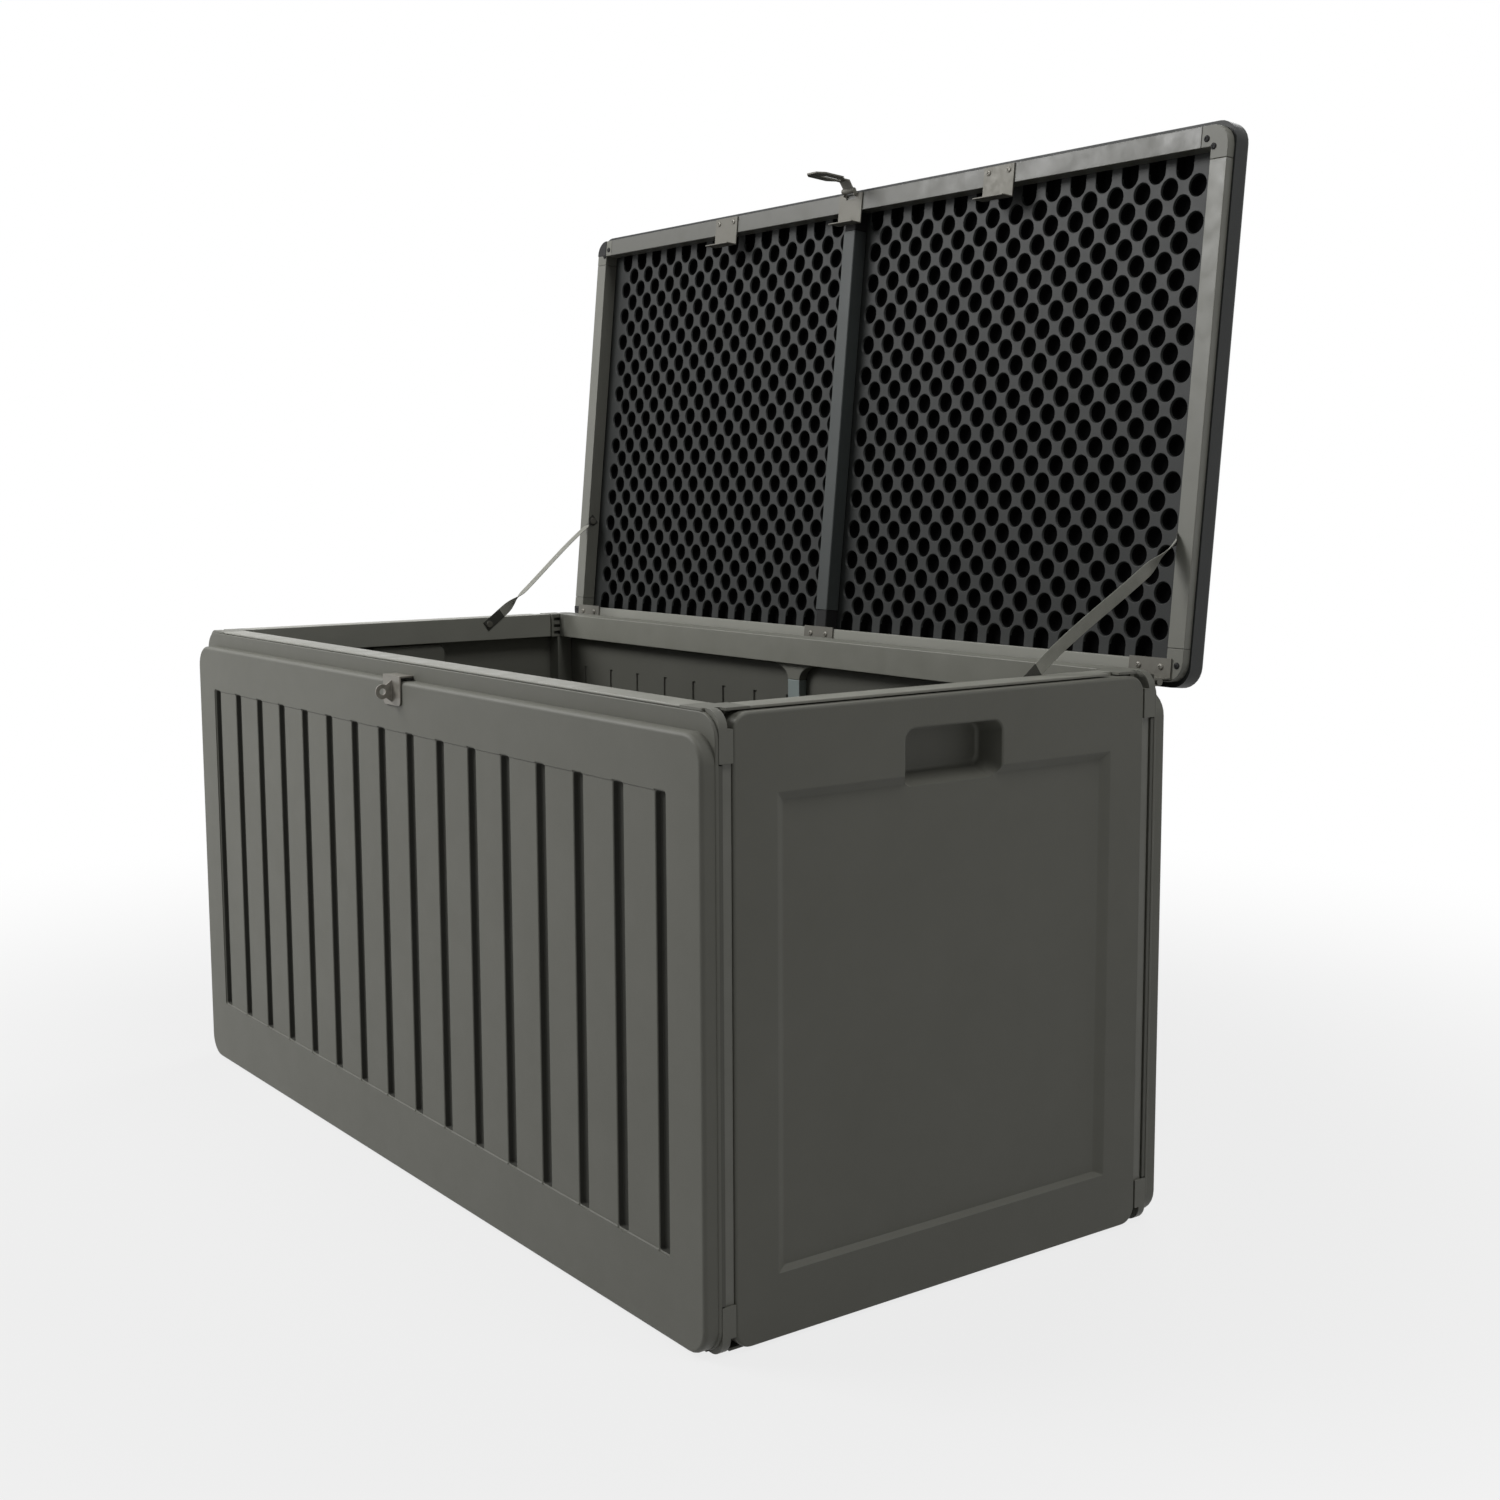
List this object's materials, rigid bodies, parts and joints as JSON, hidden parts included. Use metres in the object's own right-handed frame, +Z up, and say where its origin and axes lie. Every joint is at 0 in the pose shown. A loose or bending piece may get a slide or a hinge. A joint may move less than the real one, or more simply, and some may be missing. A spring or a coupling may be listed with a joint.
{
  "type": "deck storage box",
  "caption": "Garden deck box of grooved plastic panels on a metal frame, with a hinged lid held by webbing stays, hasp and staple, and moulded handle recesses.",
  "frame": {"origin": "on the floor, under the middle of the body, at the underside of the floor's centre rail", "axes": "+X along the box to its right end, +Y to the hinged back, +Z up"},
  "size_m": [1.237, 0.7223, 1.1892],
  "materials": {
    "shell_plastic": "blow-moulded, fine satin grain",
    "frame_paint": "satin olive-grey powder coat",
    "connector_plastic": "satin moulded plastic",
    "post_metal": "light grey satin paint",
    "lid_plastic": "blow-moulded, fine satin grain",
    "bar_plastic": "satin",
    "plate_steel": "zinc-plated sheet",
    "webbing": "plain woven tape"
  },
  "bodies": {
    "box": {"front_panel": "shell_plastic", "back_panel_left": "shell_plastic", "back_panel_right": "shell_plastic", "left_end_panel": "shell_plastic", "right_end_panel": "shell_plastic", "floor_panel_left": "shell_plastic", "floor_panel_right": "shell_plastic", "front_top_rail": "frame_paint", "back_top_rail": "frame_paint", "left_top_rail": "frame_paint", "right_top_rail": "frame_paint", "front_bottom_rail": "frame_paint", "back_bottom_rail": "frame_paint", "left_bottom_rail": "frame_paint", "right_bottom_rail": "frame_paint", "front_left_post": "frame_paint", "front_right_post": "frame_paint", "back_left_post": "frame_paint", "back_right_post": "frame_paint", "front_left_top_connector": "connector_plastic", "front_right_top_connector": "connector_plastic", "back_left_top_connector": "connector_plastic", "back_right_top_connector": "connector_plastic", "front_left_bottom_connector": "connector_plastic", "front_right_bottom_connector": "connector_plastic", "back_left_bottom_connector": "connector_plastic", "back_right_bottom_connector": "connector_plastic", "back_centre_post": "post_metal", "back_post_top_tee": "connector_plastic", "back_post_bottom_tee": "connector_plastic", "floor_centre_rail": "frame_paint", "staple": "plate_steel", "left_hinge_box_leaf": "plate_steel", "centre_hinge_box_leaf": "plate_steel", "right_hinge_box_leaf": "plate_steel", "left_stay_strap": "webbing", "left_box_strap_rivet": "plate_steel", "right_stay_strap": "webbing", "right_box_strap_rivet": "plate_steel"},
    "lid": {"lid_panel_left": "lid_plastic", "lid_panel_right": "lid_plastic", "lid_centre_bar": "bar_plastic", "lid_front_rail": "frame_paint", "lid_back_rail": "frame_paint", "lid_left_rail": "frame_paint", "lid_right_rail": "frame_paint", "lid_front_left_connector": "connector_plastic", "lid_front_right_connector": "connector_plastic", "lid_back_left_connector": "connector_plastic", "lid_back_right_connector": "connector_plastic", "left_hinge_lid_leaf": "plate_steel", "centre_hinge_lid_leaf": "plate_steel", "right_hinge_lid_leaf": "plate_steel", "left_lid_clip": "plate_steel", "right_lid_clip": "plate_steel", "hasp_bracket": "plate_steel", "left_lid_strap_rivet": "plate_steel", "right_lid_strap_rivet": "plate_steel"},
    "hasp": {"hasp": "plate_steel"}
  },
  "joints": [
    {"name": "lid_hinge", "type": "hinge", "parent": "box", "child": "lid", "pos_m": [0, 0.295, 0.587], "axis": [1, 0, 0], "range_deg": [0, 95.5], "deforming": ["left_stay_strap", "right_stay_strap"]},
    {"name": "hasp_swing", "type": "hinge", "parent": "lid", "child": "hasp", "pos_m": [0, 0.36187, 1.17088], "axis": [-1, 0, 0], "range_deg": [0, 90]}
  ]
}
